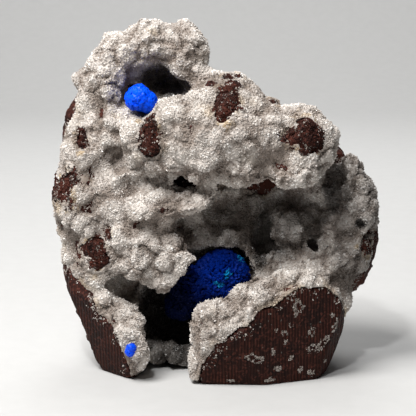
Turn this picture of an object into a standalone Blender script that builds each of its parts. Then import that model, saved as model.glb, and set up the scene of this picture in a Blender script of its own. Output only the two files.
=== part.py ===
"""Three sprays of blue cavansite on a druse of pale stilbite, which lines a hollow piece of red-brown basalt.

Metres, +Z up, +X to the right and +Y away from the viewer of the front.  The origin is on the flat sawn base.
Places and sizes in the tables below are millimetres, because the specimen fits in a hand.
"""

import math
import random

import bmesh
import bpy
from mathutils import Matrix, Vector
from mathutils.bvhtree import BVHTree

MM = 0.001
FRONT = Vector((0.0, -1.0, 0.0))

# Driving dimensions, in millimetres
CRUST_THICK = 2.2          # druse over the basalt
LINING_OVERLAP = 1.5       # the lining is modelled this much deeper, and cut back to the basalt
PIECE_GAP = 0.3            # clear gap between two pieces
CREASE_GAPS = (0.15, 0.05, 0.02)  # the same in the rock's sharpest creases
BASE_LIFT = 0.8            # the druse ends this far above the base
HOLLOW_THICK = 3.0         # druse that lines a hollow
LUMP_SIZE = 4.6            # rounded lumps of the druse
ROCK_VOXEL = 1.1
CRUST_VOXEL = 0.8
ROCK_TRIANGLES = 1750
CRUST_TRIANGLES = 2400

# Lumps: centre x, y, z, half sizes across, deep and up, and the lean to the right in degrees.
# The druse covers these, so the basalt under them is smaller by its thickness.
COATED = {
    "arch_left_limb": (-29.5, 6.0, 71.5, 6.8, 11.0, 11.5, 10),
    "arch_spur": (-34.0, 5.0, 74.0, 3.0, 5.0, 3.6, 0),
    "arch_shoulder": (-25.5, 7.0, 80.0, 7.5, 10.0, 6.5, -30),
    "arch_crown": (-17.5, 6.5, 82.8, 6.8, 10.0, 7.0, 0),
    "arch_crown_right": (-8.0, 6.5, 81.8, 6.8, 10.0, 8.0, 0),
    "arch_right_foot": (-8.0, 5.0, 78.0, 6.2, 9.0, 5.5, 20),
    "arch_root": (-27.0, 2.0, 62.5, 8.0, 11.0, 7.0, 0),
    "arch_back": (-15.0, 15.0, 74.0, 13.0, 9.0, 10.5, 0),
    "dome": (2.5, -4.0, 61.8, 23.5, 18.0, 12.0, 10),
    "dome_brow": (2.5, -3.0, 69.5, 11.5, 12.0, 7.5, 14),
    "dome_right": (20.5, -5.0, 59.2, 10.6, 14.0, 9.6, 15),
    "dome_left": (-16.5, -5.5, 60.5, 9.0, 12.0, 8.5, -10),
    "dome_lip_left": (-13.5, -11.5, 53.5, 4.8, 6.5, 4.8, 0),
    "dome_lip_middle": (-3.5, -12.5, 54.0, 6.4, 8.0, 4.6, 0),
    "dome_lip_right": (6.5, -12.5, 53.4, 6.2, 8.5, 4.9, 0),
    "dome_lip_far_right": (18.5, -10.5, 53.4, 9.0, 10.0, 5.0, 0),
    "wall_upper": (-32.8, 2.0, 55.0, 8.2, 12.0, 12.0, 4),
    "wall_middle": (-34.0, 0.0, 42.0, 8.6, 13.0, 14.0, 0),
    "wall_lower": (-31.0, -2.0, 29.0, 8.5, 12.0, 11.0, -8),
    "wall_inner": (-22.0, -2.0, 45.0, 12.0, 12.0, 10.0, 0),
    "shelf": (-14.5, -8.0, 42.5, 13.5, 9.5, 4.4, -16),
    "shelf_edge": (-4.0, -11.5, 45.6, 5.4, 6.0, 2.2, -28),
    "shelf_front": (-19.0, -7.0, 34.5, 11.0, 10.0, 9.0, 10),
    "shelf_drop_left": (-20.0, -11.0, 29.0, 5.6, 7.0, 5.0, 0),
    "shelf_drop_right": (-10.5, -10.0, 30.0, 5.8, 7.0, 5.5, 0),
    "shelf_drop_tip": (-13.0, -11.0, 25.0, 3.8, 5.0, 4.2, 0),
    "foot_left_upper": (-26.0, -7.0, 17.4, 7.0, 10.0, 6.8, 30),
    "foot_left": (-22.0, -12.5, 9.2, 6.4, 9.5, 8.0, 0),
    "foot_left_toe": (-22.5, -12.5, 2.0, 4.2, 7.5, 4.0, 0),
    "recess_wall": (1.5, 7.0, 36.0, 14.0, 12.0, 14.0, 0),
    "recess_drop": (-2.5, -1.5, 32.5, 3.4, 4.0, 3.0, 0),
    "recess_floor": (22.0, 9.0, 30.0, 14.0, 9.0, 12.0, 0),
    "recess_roof": (24.0, 9.0, 45.0, 12.0, 10.0, 8.0, 0),
    "rim_top": (35.8, 1.0, 49.2, 4.6, 9.0, 6.6, -18),
    "rim_middle": (37.8, 0.0, 40.5, 4.8, 10.0, 9.0, 0),
    "rim_lower": (35.4, 0.0, 30.5, 5.2, 10.0, 7.5, 8),
    "rim_foot": (30.6, 0.0, 18.5, 5.0, 11.0, 10.0, 14),
    "block_crust_left": (0.5, -16.0, 14.5, 7.6, 10.5, 7.6, 15),
    "block_crust_middle": (9.5, -14.0, 17.5, 11.5, 12.0, 9.0, -22),
    "block_crust_right": (20.5, -12.0, 17.0, 12.0, 12.5, 12.0, -6),
    "block_crust_corner": (-1.5, -18.5, 9.0, 5.0, 7.0, 5.4, 0),
    "block_crust_toe": (-4.2, -18.5, 3.8, 6.0, 5.5, 2.8, -48),
    "vug_floor": (-9.0, 6.0, 1.5, 13.0, 11.0, 5.5, 0),
    "vug_back": (-8.0, 14.0, 18.0, 20.0, 9.0, 20.0, 0),
}

# Rounded lumps that stand inside the hollows, also covered in druse.
INNER = {
    "recess_left": (19.4, -1.5, 36.9, 6.0, 7.0, 6.0, 0),
    "recess_right": (30.4, -2.5, 34.8, 4.4, 6.5, 5.6, 0),
    "recess_top": (25.6, 2.5, 41.4, 4.2, 5.0, 3.4, 0),
    "recess_low": (14.0, -2.6, 27.0, 3.8, 5.0, 3.4, 0),
    "recess_lower": (22.4, -4.5, 28.0, 4.4, 5.5, 3.8, 0),
    "recess_corner": (30.0, -4.5, 27.2, 4.0, 6.0, 3.6, 0),
    "vug_floor_left": (-12.6, -4.6, 2.9, 4.2, 4.4, 4.2, 0),
    "vug_floor_right": (-8.0, -3.8, 1.8, 3.4, 3.8, 3.4, 0),
}

CORED = ("recess_left", "vug_floor_left")  # the inner lumps large enough to hold basalt

# Bare basalt: it stands proud of the druse, so none is left on it.
BARE = {
    "back": (-3.0, 15.0, 40.0, 36.0, 14.0, 31.0, 0),
    "back_upper_left": (-19.0, 15.0, 67.0, 16.5, 11.0, 16.5, 14),
    "back_right": (20.5, 14.0, 44.0, 17.0, 12.0, 17.0, 20),
    "back_low": (2.0, 10.0, 18.0, 32.0, 18.0, 22.0, 0),
    "flank_upper_left": (-31.5, 10.0, 60.0, 8.8, 12.0, 14.0, 14),
    "flank_left": (-34.5, 5.0, 43.0, 8.4, 12.5, 12.0, 0),
    "flank_lower_left": (-31.0, 2.0, 23.5, 8.6, 12.0, 13.0, -14),
    "foot_left_rock": (-25.5, -8.5, 7.5, 7.2, 11.0, 12.0, -18),
    "foot_left_flank": (-31.4, -6.5, 17.0, 4.6, 8.6, 8.0, -28),
    "flank_right": (34.8, 7.0, 34.0, 8.0, 10.5, 17.0, 0),
    "flank_lower_right": (25.0, 2.0, 13.0, 8.5, 14.0, 16.0, 10),
    "block": (12.5, -14.0, 6.0, 18.5, 17.5, 14.6, -26),
    "block_right": (21.8, -12.0, 12.6, 11.6, 15.5, 14.2, -8),
    "block_toe": (-2.0, -14.5, 1.0, 6.5, 8.0, 3.0, -30),
}

# Hollows open to the front.  The druse lines them, so they are larger in the basalt.
HOLLOWS = {
    "under_arch": (-12.8, -1.0, 73.0, 6.2, 12.0, 4.2, 16),
    "under_arch_left": (-19.0, -7.0, 69.4, 4.8, 8.5, 3.8, 0),
    "vug_mouth": (-12.0, -18.0, 8.0, 5.8, 17.0, 14.5, 0),
    "vug": (-11.6, -2.0, 13.5, 9.0, 14.0, 10.5, 0),
    "vug_upper_left": (-22.5, -10.0, 21.5, 7.0, 10.0, 3.4, 24),
    "spray_chamber": (-1.0, -6.0, 23.5, 12.0, 12.0, 9.0, 0),
    "slit": (12.6, 1.0, 34.5, 2.2, 11.0, 7.5, 8),
    "under_dome": (5.0, -9.0, 42.0, 11.5, 10.0, 6.8, 0),
    "recess": (21.5, -7.0, 37.6, 11.6, 10.5, 11.2, 0),
    "beside_dome": (31.0, -6.0, 48.5, 1.9, 12.0, 7.5, 14),
    "under_dome_left": (-19.0, -14.0, 50.0, 10.0, 6.0, 2.2, -8),
    "rim_hole": (37.0, -9.0, 38.5, 1.9, 6.0, 1.3, 0),
}

# Where the druse has flaked off the basalt, as seen from the front: x, z, half sizes across and up, and the lean.
BARE_PATCHES = {
    "dome_top": (3.2, 71.6, 2.6, 5.2, 8),
    "dome_top_tail": (0.4, 68.6, 1.4, 2.2, 0),
    "dome_left": (-16.3, 62.8, 2.2, 4.2, 4),
    "dome_right": (23.0, 61.6, 3.4, 3.8, -10),
    "dome_right_wing": (19.5, 62.5, 3.6, 1.7, 10),
    "dome_crest": (15.6, 71.0, 1.0, 1.6, 0),
    "wall_upper": (-34.0, 60.5, 1.5, 2.6, -10),
    "wall_edge": (-38.6, 48.6, 3.2, 4.6, 12),
    "wall_fleck": (-31.7, 51.2, 1.2, 1.0, 0),
    "wall_lower": (-30.1, 31.6, 2.5, 3.8, -15),
    "wall_lower_fleck": (-27.0, 36.6, 1.1, 1.1, 0),
    "flank_edge": (-36.0, 23.6, 2.6, 4.0, -12),
    "rim_edge": (39.4, 32.6, 2.0, 2.6, 0),
}
PATCH_DEPTH = 3.0
PATCH_PROUD = 0.5
PATCH_SPREAD = 1.4         # only the middle of a buried lump reaches the surface

# Flat faces left by the saw: a point on each, and the way it faces.
SAW_CUTS = {
    "block_front_left": ((6.0, -24.0, 7.5), (-0.05, -0.94, -0.30)),
    "block_front_right": ((19.0, -20.5, 18.0), (0.38, -0.92, -0.06)),
    "block_side": ((30.8, -12.0, 10.0), (0.90, -0.40, -0.28)),
    "foot_outside": ((-31.0, -12.0, 12.0), (-0.72, -0.63, -0.30)),
}
SAW_REACH = 40.0

# Rougher faces, where the piece was broken from the rock behind.
BREAKS = {
    "back_middle": ((0.0, 26.0, 44.0), (0.10, 1.0, 0.10)),
    "back_top": ((-18.0, 19.5, 76.0), (-0.15, 0.85, 0.50)),
    "back_bottom": ((4.0, 22.5, 10.0), (-0.05, 0.88, -0.46)),
    "back_right_side": ((34.0, 17.0, 40.0), (0.68, 0.73, 0.10)),
    "back_left_side": ((-34.0, 17.0, 36.0), (-0.70, 0.70, -0.08)),
    "back_shoulder": ((20.0, 18.0, 62.0), (0.35, 0.66, 0.66)),
}
BREAK_REACH = 90.0

# Sprays of cavansite.  A spray is one or more rosettes: centre x, y, z, reach of the tips, and number of crystals.
SPRAYS = {
    "cavansite_spray_middle": (
        (1.8, -2.5, 24.2, 7.7, 26),
        (-5.8, -3.4, 20.8, 6.6, 17),
        (-9.2, -4.0, 16.6, 4.6, 8),
    ),
    "cavansite_spray_upper": ((-19.6, -5.0, 70.6, 3.9, 17), (-17.6, -4.8, 69.6, 3.2, 7)),
    "cavansite_spray_lower": ((-21.3, -20.4, 9.4, 1.4, 9), (-21.6, -20.3, 8.3, 1.4, 7)),
}
CORE_SHARE = 0.66          # the solid heart of a rosette, as a share of its reach


def tidy_scene():
    """Removes whatever the file opened with."""
    for obj in list(bpy.data.objects):
        bpy.data.objects.remove(obj)


def collection(name):
    made = bpy.data.collections.new(name)
    bpy.context.scene.collection.children.link(made)
    return made


def material(name, colour, roughness):
    made = bpy.data.materials.new(name)
    made.use_nodes = True
    shader = made.node_tree.nodes["Principled BSDF"]
    shader.inputs["Base Color"].default_value = (*colour, 1.0)
    shader.inputs["Roughness"].default_value = roughness
    made.diffuse_color = (*colour, 1.0)
    return made


def new_object(name, mesh, where):
    obj = bpy.data.objects.new(name, mesh)
    where.objects.link(obj)
    return obj


def lump_matrix(centre, halves, lean, facing=FRONT):
    """Carries the unit sphere onto a lump whose halves are across, deep and up, and whose front looks along facing."""
    place = Matrix.Translation(Vector(centre) * MM)
    turn = FRONT.rotation_difference(facing).to_matrix().to_4x4()
    roll = Matrix.Rotation(math.radians(lean), 4, "Y")
    return place @ turn @ roll @ Matrix.Diagonal((*(half * MM for half in halves), 1.0))


def placed(table, grow=0.0):
    """The lumps of a table, each larger by grow millimetres all round."""
    return [
        lump_matrix((x, y, z), (across + grow, deep + grow, up + grow), lean)
        for x, y, z, across, deep, up, lean in table.values()
    ]


def lumps(name, matrices, where, voxel, joined=()):
    """One closed body from overlapping lumps.  The meshes in joined become part of the same body."""
    bm = bmesh.new()
    for mesh in joined:
        bm.from_mesh(mesh)
    for matrix in matrices:
        bmesh.ops.create_icosphere(bm, subdivisions=3, radius=1.0, matrix=matrix)
    mesh = bpy.data.meshes.new(name)
    bm.to_mesh(mesh)
    bm.free()
    obj = new_object(name, mesh, where)
    remesh(obj, voxel)
    return obj


def remesh(obj, voxel):
    made = obj.modifiers.new("one skin", "REMESH")
    made.mode = "VOXEL"
    made.voxel_size = voxel * MM


def relax(obj, times):
    made = obj.modifiers.new("soft creases", "SMOOTH")
    made.factor = 0.5
    made.iterations = times


def boolean(obj, other, operation):
    made = obj.modifiers.new(operation.lower(), "BOOLEAN")
    made.operation = operation
    made.object = other
    return made


def relief(obj, kind, size, height, middle=0.5):
    """Moves the surface in and out by a texture whose features are size millimetres across."""
    texture = bpy.data.textures.new(f"{obj.name} {kind.lower()} {size}", kind)
    texture.noise_scale = size * MM
    if kind == "VORONOI":
        texture.distance_metric = "DISTANCE_SQUARED"
    made = obj.modifiers.new(texture.name, "DISPLACE")
    made.texture = texture
    made.texture_coords = "LOCAL"
    made.strength = height * MM
    made.mid_level = middle


def thin_out(obj, triangles):
    """Leaves about this many triangles, fewest where the surface is flat."""
    settle(obj)
    obj.data.calc_loop_triangles()
    made = obj.modifiers.new("fewer faces", "DECIMATE")
    made.ratio = min(1.0, triangles / len(obj.data.loop_triangles))


def settle(obj):
    """Makes the evaluated mesh the object's own, and drops the modifiers."""
    graph = bpy.context.evaluated_depsgraph_get()
    graph.update()
    mesh = bpy.data.meshes.new_from_object(obj.evaluated_get(graph))
    obj.modifiers.clear()
    obj.data = mesh
    return obj


def largest_body(obj):
    """Deletes the crumbs that a cut leaves beside the main body, and the bubbles that a union leaves in it."""
    bm = bmesh.new()
    bm.from_mesh(obj.data)
    seen, bodies = set(), []
    for start in bm.verts:
        if start in seen:
            continue
        body, todo = [], [start]
        seen.add(start)
        while todo:
            vert = todo.pop()
            body.append(vert)
            for edge in vert.link_edges:
                other = edge.other_vert(vert)
                if other not in seen:
                    seen.add(other)
                    todo.append(other)
        bodies.append(body)
    bodies.sort(key=len)
    for body in bodies[:-1]:
        bmesh.ops.delete(bm, geom=body, context="VERTS")
    bm.to_mesh(obj.data)
    bm.free()


def slab(name, top, where):
    """A block whose upper face is level at top millimetres: a cutter for the base."""
    bm = bmesh.new()
    size = 200.0
    bmesh.ops.create_cube(bm, size=size * MM, matrix=Matrix.Translation((0.0, 0.0, (top - size / 2) * MM)))
    mesh = bpy.data.meshes.new(name)
    bm.to_mesh(mesh)
    bm.free()
    return helper(new_object(name, mesh, where))


def helper(obj):
    obj.hide_render = True
    obj.display_type = "WIRE"
    return obj


def patch_lumps(body):
    """Lumps of basalt that just reach the surface of the druse, found by looking from the front."""
    bm = bmesh.new()
    bm.from_mesh(body.data)
    skin = BVHTree.FromBMesh(bm)
    bm.free()
    found = []
    for x, z, across, up, lean in BARE_PATCHES.values():
        hit, facing, _, _ = skin.ray_cast(Vector((x, -100.0, z)) * MM, -FRONT)
        if hit is None:        # the place is just past the outline
            hit, facing, _, _ = skin.find_nearest(Vector((x, 0.0, z)) * MM)
        centre = hit / MM - facing * (PATCH_DEPTH - PATCH_PROUD)
        halves = (across * PATCH_SPREAD, PATCH_DEPTH, up * PATCH_SPREAD)
        found.append(lump_matrix(centre, halves, lean, facing))
    return found


def cutting_blocks(table, reach, where):
    """Cutters, one for each face of a table: a cube that lies against the face from outside."""
    bm = bmesh.new()
    blocks = []
    for name, (point, normal) in table.items():
        facing = Vector(normal).normalized()
        place = Matrix.Translation((Vector(point) + facing * reach / 2) * MM)
        turn = facing.to_track_quat("Z", "Y").to_matrix().to_4x4()
        bmesh.ops.create_cube(bm, size=reach * MM, matrix=place @ turn)
        mesh = bpy.data.meshes.new(f"cut {name}")
        bm.to_mesh(mesh)
        bm.clear()
        blocks.append(helper(new_object(mesh.name, mesh, where)))
    bm.free()
    return blocks


def seats():
    """The hollows that the sprays sit in, one round each rosette, as a table of lumps."""
    found = {}
    for name, rosettes in SPRAYS.items():
        for number, (x, y, z, reach, _) in enumerate(rosettes):
            half = reach + PIECE_GAP
            found[f"{name} {number}"] = (x, y, z, half, half, half, 0)
    return found


def with_inner(body, table, grow, voxel, where):
    """The hollowed body and the lumps that stand inside its hollows, as one skin under the body's name."""
    mesh = settle(body).data
    name = body.name
    bpy.data.objects.remove(body)
    return lumps(name, placed(table, grow), where, voxel, joined=[mesh])


def build_coated_body(part, tools):
    """The druse as if it were solid all through, with a lining of it in every hollow."""
    whole = helper(lumps("whole piece", placed(COATED) + placed(BARE), tools, CRUST_VOXEL))
    lining = helper(lumps("lining", placed(HOLLOWS, HOLLOW_THICK + LINING_OVERLAP), tools, CRUST_VOXEL))
    boolean(lining, whole, "INTERSECT")
    settle(lining)
    body = lumps("stilbite_crust", placed(COATED), part, CRUST_VOXEL, joined=[lining.data])
    hollows = helper(lumps("druse hollows", placed(HOLLOWS) + placed(seats()), tools, CRUST_VOXEL))
    boolean(body, hollows, "DIFFERENCE")
    body = with_inner(body, INNER, 0.0, CRUST_VOXEL, part)
    relax(body, 5)
    relief(body, "CLOUDS", 8.0, 1.8)
    relief(body, "VORONOI", LUMP_SIZE, -1.7, 0.3)
    return settle(body)


def build_basalt(patches, cuts, part, tools):
    rock = lumps("basalt_matrix", placed(COATED, -CRUST_THICK) + placed(BARE) + patches, part, ROCK_VOXEL)
    lined = placed(HOLLOWS, HOLLOW_THICK) + placed(seats(), CRUST_THICK)
    hollows = helper(lumps("basalt hollows", lined, tools, ROCK_VOXEL))
    boolean(rock, hollows, "DIFFERENCE")
    for cut in cutting_blocks(BREAKS, BREAK_REACH, tools):
        boolean(rock, cut, "DIFFERENCE")
    cores = {name: INNER[name] for name in CORED}
    rock = with_inner(rock, cores, -CRUST_THICK, ROCK_VOXEL, part)
    relax(rock, 3)
    relief(rock, "CLOUDS", 8.0, 1.8)
    relief(rock, "VORONOI", 3.6, -0.7)
    thin_out(rock, ROCK_TRIANGLES)
    for cut in cuts:
        boolean(rock, cut, "DIFFERENCE")
    boolean(rock, slab("below the base", 0.0, tools), "DIFFERENCE")
    settle(rock)
    largest_body(rock)
    return rock


def build_crust(crust, rock, cuts, tools):
    """What is left of the coated body outside the basalt, the saw cuts and the seats of the sprays."""
    thin_out(crust, CRUST_TRIANGLES)
    boolean(crust, slab("below the druse", BASE_LIFT, tools), "DIFFERENCE")
    settle(crust)
    cutters = collection("cutters of the druse")
    for gap in (PIECE_GAP, *CREASE_GAPS):
        under = helper(new_object(f"basalt swollen by {gap}", rock.data.copy(), cutters))
        swell = under.modifiers.new("gap", "DISPLACE")
        swell.strength = gap * MM
        swell.mid_level = 0.0
    for cut in cuts:
        cutters.objects.link(cut)
    helper(lumps("spray seats", placed(seats()), cutters, CRUST_VOXEL))
    fitted = boolean(crust, None, "DIFFERENCE")
    fitted.operand_type = "COLLECTION"
    fitted.collection = cutters
    fitted.solver = "MANIFOLD"
    settle(crust)
    largest_body(crust)
    return crust


def crystal(bm, root, way, roll, length, wide, thick, point):
    """A four-sided blade from root along way, a little wider at its shoulder, with a pyramid for a point."""
    turn = way.to_track_quat("Z", "Y").to_matrix().to_4x4() @ Matrix.Rotation(roll, 4, "Z")
    place = Matrix.Translation(root + way * length / 2)
    matrix = place @ turn @ Matrix.Diagonal((1.0, thick / wide, 1.0, 1.0))
    made = bmesh.ops.create_cone(
        bm, cap_ends=True, segments=4, radius1=wide * 0.42, radius2=wide * 0.58, depth=length, matrix=matrix
    )
    faces = {face for vert in made["verts"] for face in vert.link_faces}
    top = max(faces, key=lambda face: face.calc_center_median().dot(way))
    bmesh.ops.poke(bm, faces=[top], offset=point, center_mode="MEAN")


def directions(count, dice):
    """Directions spread evenly over a ball, each a little off its place."""
    golden = math.pi * (3.0 - math.sqrt(5.0))
    for i in range(count):
        z = 1.0 - 2.0 * (i + 0.5) / count
        ring = math.sqrt(1.0 - z * z)
        way = Vector((ring * math.cos(golden * i), ring * math.sin(golden * i), z))
        yield (way + Vector(dice.gauss(0.0, 0.12) for _ in range(3))).normalized()


def build_spray(name, rosettes, part, tools):
    """Crystals that radiate from the heart of each rosette, all grown together.

    They are joined at a thousand times their size, because the smallest are under a millimetre long.
    """
    dice = random.Random(name)
    hearts, blades = bmesh.new(), bmesh.new()
    for x, y, z, reach, count in rosettes:
        centre = Vector((x, y, z))
        heart = reach * CORE_SHARE
        place = Matrix.Translation(centre) @ Matrix.Scale(heart, 4)
        bmesh.ops.create_icosphere(hearts, subdivisions=1, radius=1.0, matrix=place)
        wide = reach * 2.9 / math.sqrt(count)
        for way in directions(count, dice):
            point = wide * 0.55
            tip = reach * dice.uniform(0.88, 1.0)
            root = heart * 0.45
            roll = dice.uniform(0.0, math.pi)
            crystal(blades, centre + way * root, way, roll, tip - point - root, wide, wide * 0.62, point)
    heart_mesh = bpy.data.meshes.new(name)
    hearts.to_mesh(heart_mesh)
    hearts.free()
    blade_mesh = bpy.data.meshes.new(f"{name} blades")
    blades.to_mesh(blade_mesh)
    blades.free()
    spray = new_object(name, heart_mesh, part)
    crystals = new_object(blade_mesh.name, blade_mesh, tools)
    union = boolean(spray, crystals, "UNION")
    union.use_self = True
    settle(spray)
    bpy.data.objects.remove(crystals)
    largest_body(spray)
    spray.data.transform(Matrix.Scale(MM, 4))
    return spray


def main():
    tidy_scene()
    part = collection("cavansite_cluster")
    tools = collection("cutters")
    cuts = cutting_blocks(SAW_CUTS, SAW_REACH, tools)
    crust = build_coated_body(part, tools)
    rock = build_basalt(patch_lumps(crust), cuts, part, tools)
    build_crust(crust, rock, cuts, tools)
    rock.data.materials.append(material("basalt", (0.16, 0.07, 0.05), 0.8))
    crust.data.materials.append(material("stilbite", (0.62, 0.57, 0.51), 0.45))
    blue = material("cavansite", (0.01, 0.13, 0.62), 0.3)
    for name, rosettes in SPRAYS.items():
        build_spray(name, rosettes, part, tools).data.materials.append(blue)


main()
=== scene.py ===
"""Cavansite cluster: blue sprays on a sugary druse that lines a hollow piece of red-brown basalt.

Laid out as an add-on and run as a script.  Metres, +Z up, +X to the right, -Y towards the viewer of
the front.
"""

import itertools
import math

import bmesh
import bpy
import numpy as np
from bpy.props import FloatProperty, FloatVectorProperty, IntProperty, PointerProperty
from bpy.types import Operator, Panel, PropertyGroup
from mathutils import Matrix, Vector


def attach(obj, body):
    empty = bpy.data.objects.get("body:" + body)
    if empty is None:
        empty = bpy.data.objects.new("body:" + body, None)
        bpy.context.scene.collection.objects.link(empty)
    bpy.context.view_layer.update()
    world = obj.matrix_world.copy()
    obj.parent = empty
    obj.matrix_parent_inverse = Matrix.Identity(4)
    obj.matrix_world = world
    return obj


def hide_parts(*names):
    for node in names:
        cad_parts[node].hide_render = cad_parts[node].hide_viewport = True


bl_info = {
    "name": "Cavansite Cluster",
    "version": (1, 0, 0),
    "blender": (4, 5, 0),
    "location": "View3D > Sidebar > Cavansite",
    "description": "Dresses a cavansite, stilbite and basalt specimen and lights it",
    "category": "Add Mesh",
}

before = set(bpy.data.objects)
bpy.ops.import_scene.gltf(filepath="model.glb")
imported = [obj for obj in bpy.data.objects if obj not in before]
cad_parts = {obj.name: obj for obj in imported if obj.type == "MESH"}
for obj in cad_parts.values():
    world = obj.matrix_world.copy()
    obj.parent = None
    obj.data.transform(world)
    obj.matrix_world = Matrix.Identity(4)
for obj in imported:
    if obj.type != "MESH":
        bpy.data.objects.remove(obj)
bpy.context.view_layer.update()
MM = 0.001
BODY = "root"

# The camera of the photograph: what it looks at and how far off it stands, in millimetres, and how far it
# looks down.
AIM = (-2.0, 0.0, 41.4)
DISTANCE = 430.0
LOOK_DOWN = math.radians(10.0)
# How many pixels wide the photograph is, and how many millimetres of the piece each one shows.
PHOTO_PIXELS = 416
PIXEL = 0.26

# Flat faces left by the saw, as in the solids: a point on each in millimetres, and the way it faces.
SAWN_FACES = {
    "block_front_left": ((6.0, -24.0, 7.5), (-0.05, -0.94, -0.30)),
    "block_front_right": ((19.0, -20.5, 18.0), (0.38, -0.92, -0.06)),
    "block_side": ((30.8, -12.0, 10.0), (0.90, -0.40, -0.28)),
    "foot_outside": ((-31.0, -12.0, 12.0), (-0.72, -0.63, -0.30)),
    "base": ((0.0, 0.0, 0.0), (0.0, 0.0, -1.0)),
}
SAW_REACH = 23.0 * MM        # how far from its point a sawn face reaches
BASE_REACH = 60.0 * MM

# Pale minerals in the sawn block, seen from the front: x, z, half sizes across and up in millimetres, the
# lean to the right in degrees, and whether the middle is bare.
FLECKS = (
    (20.0, 21.5, 0.5, 0.5, 0, False),
    (20.6, 19.8, 1.7, 1.3, 20, True),
    (19.8, 17.8, 0.7, 0.8, 0, False),
    (18.9, 15.2, 0.8, 0.8, 0, True),
    (15.2, 14.3, 0.6, 0.6, 0, True),
    (17.0, 13.3, 0.8, 0.7, 0, True),
    (17.6, 11.0, 0.5, 0.5, 0, False),
    (24.3, 13.0, 0.8, 1.4, 20, True),
    (24.5, 8.4, 1.4, 1.3, 10, True),
    (27.0, 9.4, 0.9, 2.6, 35, True),
    (30.3, 13.8, 0.6, 1.8, 20, True),
    (29.5, 16.7, 0.5, 0.8, 0, False),
    (30.9, 21.6, 0.8, 2.2, 10, True),
    (29.6, 26.0, 0.6, 1.2, -20, False),
    (28.6, 24.0, 0.6, 1.0, 0, False),
    (27.8, 27.0, 0.6, 1.6, -20, False),
    (9.5, 7.5, 2.3, 1.1, 20, True),
    (14.3, 8.7, 0.6, 0.7, 0, False),
    (15.6, 4.2, 0.9, 0.7, 30, False),
    (18.9, 6.5, 0.6, 0.5, 0, False),
    (21.3, 3.1, 0.4, 0.9, 20, False),
    (13.7, 1.5, 1.4, 0.5, -5, False),
    (24.0, 2.0, 1.4, 0.7, 10, False),
    (27.8, 4.5, 0.5, 0.6, 0, False),
    (3.8, 1.2, 0.8, 0.4, 0, False),
)

# Shade painted on the druse and the sprays, where the pale floor and soft light fill hollows too much: x, y,
# z and half sizes in millimetres, and how much darker at the middle.
PAINTED_SHADE = {
    "vug": (-11.0, 3.0, 13.0, 14.0, 21.0, 14.0, 0.93),
    "vug_floor": (-11.0, -9.0, 2.0, 7.5, 16.0, 8.0, 0.86),
    "recess": (13.0, -1.0, 37.0, 22.0, 14.0, 11.0, 0.56),
    "slit": (11.5, -4.0, 33.0, 3.0, 14.0, 9.0, 0.85),
    "under_arch": (-13.0, 5.0, 75.0, 9.0, 12.0, 6.5, 0.88),
    "beside_dome": (32.0, 0.0, 46.0, 5.0, 14.0, 9.0, 0.70),
    "rim": (38.0, -4.0, 36.0, 11.0, 26.0, 26.0, 0.50),
    "rim_hole": (37.0, -4.0, 38.6, 2.2, 20.0, 2.0, 0.95),
}

# Bare patches of rock seen from the front, as in the solids: x, z, half sizes across and up in millimetres,
# and lean in degrees.
PATCHES = {
    "dome_top": (3.2, 71.6, 2.6, 5.2, 8),
    "dome_top_tail": (0.4, 68.6, 1.4, 2.2, 0),
    "dome_left": (-16.3, 62.8, 2.2, 4.2, 4),
    "dome_right": (23.0, 61.6, 3.4, 3.8, -10),
    "dome_right_wing": (19.5, 62.5, 3.6, 1.7, 10),
    "dome_crest": (15.6, 71.0, 1.0, 1.6, 0),
    "wall_upper": (-34.0, 60.5, 1.5, 2.6, -10),
    "wall_edge": (-38.6, 48.6, 3.2, 4.6, 12),
    "wall_fleck": (-31.7, 51.2, 1.2, 1.0, 0),
    "wall_lower": (-30.1, 31.6, 2.5, 3.8, -15),
    "wall_lower_fleck": (-27.0, 36.6, 1.1, 1.1, 0),
    "rim_edge": (39.4, 32.6, 2.0, 2.6, 0),
}

# Rounded lobes of the druse that stand out to the front, by where the camera sees them: across and up from
# the origin, and radius, in millimetres.
LOBES = {
    "dome's lower edge": (
        (-22.0, 54.5, 3.2), (-16.5, 51.0, 2.8), (-11.5, 48.5, 2.6), (-6.0, 48.5, 2.7), (-0.5, 47.0, 2.5),
        (5.0, 46.5, 2.8), (10.5, 48.5, 2.5), (15.5, 49.0, 3.2), (21.5, 48.0, 3.2), (27.0, 49.0, 2.8),
        (30.0, 54.0, 2.6),
    ),
    "arch": (
        (-17.0, 87.5, 3.6), (-11.5, 86.5, 3.2), (-5.0, 86.5, 3.3), (-23.0, 82.5, 3.4), (-29.0, 79.5, 3.2),
        (-33.0, 75.0, 2.8), (-13.5, 82.5, 3.0), (-7.5, 81.0, 3.2), (-27.5, 71.5, 3.0),
    ),
    "shelf": (
        (-19.5, 28.5, 3.4), (-25.0, 26.0, 3.0), (-17.0, 22.5, 2.8), (-13.5, 27.5, 2.7), (-10.5, 33.0, 2.7),
        (-29.0, 28.5, 2.8), (-31.5, 34.5, 3.0),
    ),
    "block's edge": (
        (-1.0, 16.0, 3.2), (5.5, 20.0, 3.2), (12.0, 24.0, 3.2), (19.5, 25.5, 2.8), (-2.5, 9.5, 2.7),
        (2.5, 14.5, 2.5),
    ),
    "rim": ((35.5, 52.5, 2.5), (39.0, 47.5, 2.5), (33.5, 46.0, 2.5), (36.5, 32.0, 3.2), (31.0, 27.5, 2.8)),
    "recess": ((19.5, 36.5, 4.8), (13.5, 30.5, 2.6), (25.0, 40.5, 2.8), (26.0, 32.0, 2.8)),
}

# Painted shade on the middle spray: the place it stays brightest, x and z, and how far from it its blue
# starts and ends darkening, in millimetres.
SPRAY_LIGHT = (3.0, 28.0)
SPRAY_FADE = (5.0, 14.0)

# Turquoise painted highlights on the middle spray, seen from the front: x, z and radius in millimetres.
TURQUOISE_HIGHLIGHTS = ((3.2, 25.8, 1.3), (0.7, 23.2, 1.4), (7.6, 29.6, 1.8))

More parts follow.
